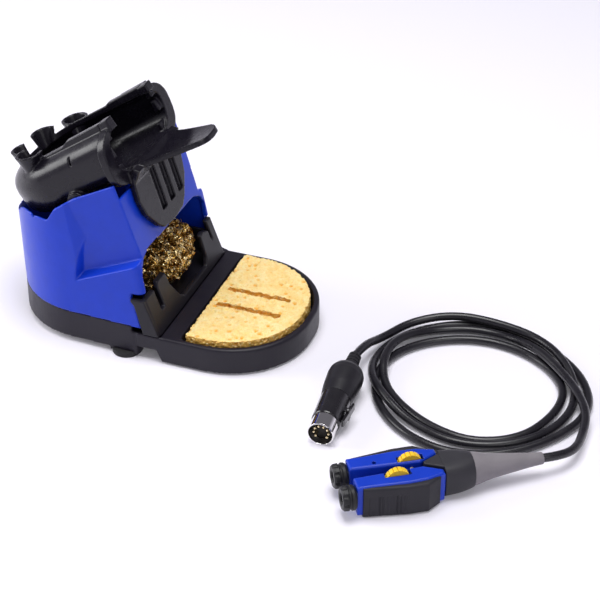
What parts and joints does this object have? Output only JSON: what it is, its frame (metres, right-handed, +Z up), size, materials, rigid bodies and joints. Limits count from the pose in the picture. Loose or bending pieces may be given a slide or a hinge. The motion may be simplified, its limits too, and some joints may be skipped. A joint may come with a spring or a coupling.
{
  "type": "soldering iron station",
  "caption": "Stand with a sloping tool receptacle over a brass wool cleaner and a sponge tray, with a corded tweezer handpiece that ends in a round multi-pin plug.",
  "frame": {"origin": "bottom centre of the box round the stand and the handpiece, on the bench", "axes": "+X from the back of the stand towards the sponge tray, +Y to the stand's left seen from behind, +Z up"},
  "size_m": [0.315, 0.179, 0.1231],
  "materials": {
    "black_base": "fine moulded texture",
    "blue_shell": "satin",
    "black_case": "satin",
    "black_receptacle": "satin, heat resistant",
    "wool": "bright ribbon",
    "sponge_yellow": "open cell sponge",
    "rubber_black": "matt",
    "ballast_steel": "plain",
    "screw_steel": "zinc plated",
    "arm_blue": "satin",
    "grip_rubber": "matt",
    "wheel_yellow": "satin",
    "nose_black": "satin",
    "yoke_black": "fine moulded texture",
    "relief_grey": "matt",
    "sleeve_steel": "drawn",
    "cord_black": "smooth",
    "plug_black": "gloss",
    "plug_grip_black": "satin",
    "plug_chrome": "polished",
    "insert_black": "plain",
    "contact_metal": "plated"
  },
  "bodies": {
    "stand": {"base_tray": "black_base", "rubber_feet": "rubber_black", "ballast_plate": "ballast_steel", "housing_screws": "screw_steel", "housing": "blue_shell"},
    "cleaner": {"wool_case": "black_case", "brass_wool": "wool"},
    "sponge_pad": {"sponge": "sponge_yellow"},
    "receptacle": {"trough": "black_receptacle", "receptacle_front": "black_receptacle", "tilt_pins": "screw_steel", "tilt_washers": "black_case"},
    "handpiece": {"yoke": "yoke_black", "strain_relief": "relief_grey", "near_arm_pin": "screw_steel", "far_arm_pin": "screw_steel", "cord": "cord_black", "plug_shell": "plug_chrome", "plug_insert": "insert_black", "plug_pins": "contact_metal", "plug_barrel": "plug_black", "plug_grip": "plug_grip_black", "plug_boot": "plug_grip_black", "latch_pin": "screw_steel"},
    "near_lever": {"near_arm": "arm_blue", "near_grip": "grip_rubber", "near_axle": "screw_steel", "near_socket": "sleeve_steel", "stop_pin": "sleeve_steel", "opening_spring": "screw_steel"},
    "far_lever": {"far_arm": "arm_blue", "far_grip": "grip_rubber", "far_axle": "screw_steel", "far_socket": "sleeve_steel"},
    "near_thumbwheel": {"near_wheel": "wheel_yellow"},
    "far_thumbwheel": {"far_wheel": "wheel_yellow"},
    "near_ring": {"near_nose": "nose_black"},
    "far_ring": {"far_nose": "nose_black"},
    "latch": {"plug_latch": "plug_black"}
  },
  "joints": [
    {"name": "receptacle_tilt", "type": "hinge", "parent": "stand", "child": "receptacle", "pos_m": [-0.10114, 0.04182, 0.08001], "axis": [0, -1, 0], "range_deg": [0, 6]},
    {"name": "cleaner_slide", "type": "slide", "parent": "stand", "child": "cleaner", "axis": [0.9659, 0, 0.2588], "range_m": [0, 0.035]},
    {"name": "sponge_peel", "type": "hinge", "parent": "stand", "child": "sponge_pad", "pos_m": [0.00591, 0.04182, 0.0174], "axis": [0, 1, 0], "range_deg": [0, 80]},
    {"name": "handpiece_lift", "type": "slide", "parent": "stand", "child": "handpiece", "axis": [0, 0, 1], "range_m": [0, 0.04]},
    {"name": "near_arm_squeeze", "type": "hinge", "parent": "handpiece", "child": "near_lever", "pos_m": [0.11216, -0.05456, 0.0095], "axis": [0, 0, -1], "range_deg": [0, 2.2], "stiffness_Nm_per_rad": 0.8},
    {"name": "far_arm_squeeze", "type": "hinge", "parent": "handpiece", "child": "far_lever", "pos_m": [0.10616, -0.04558, 0.0095], "axis": [0, 0, 1], "range_deg": [0, 2.2], "stiffness_Nm_per_rad": 0.8},
    {"name": "near_wheel_turn", "type": "hinge", "parent": "near_lever", "child": "near_thumbwheel", "pos_m": [0.09227, -0.0671, 0.014], "axis": [-0.5548, 0.832, 0], "continuous": true},
    {"name": "far_wheel_turn", "type": "hinge", "parent": "far_lever", "child": "far_thumbwheel", "pos_m": [0.09402, -0.0544, 0.014], "axis": [-0.5548, 0.832, 0], "continuous": true},
    {"name": "near_ring_turn", "type": "hinge", "parent": "near_lever", "child": "near_ring", "pos_m": [0.07341, -0.08389, 0.01], "axis": [0.832, 0.5548, 0], "range_deg": [0, 45]},
    {"name": "far_ring_turn", "type": "hinge", "parent": "far_lever", "child": "far_ring", "pos_m": [0.0642, -0.07007, 0.01], "axis": [0.832, 0.5548, 0], "range_deg": [0, 45]},
    {"name": "latch_press", "type": "hinge", "parent": "handpiece", "child": "latch", "pos_m": [0.05215, -0.02069, 0.00769], "axis": [0.0038, -0.0602, 0.9982], "range_deg": [0, 3], "stiffness_Nm_per_rad": 0.02}
  ]
}
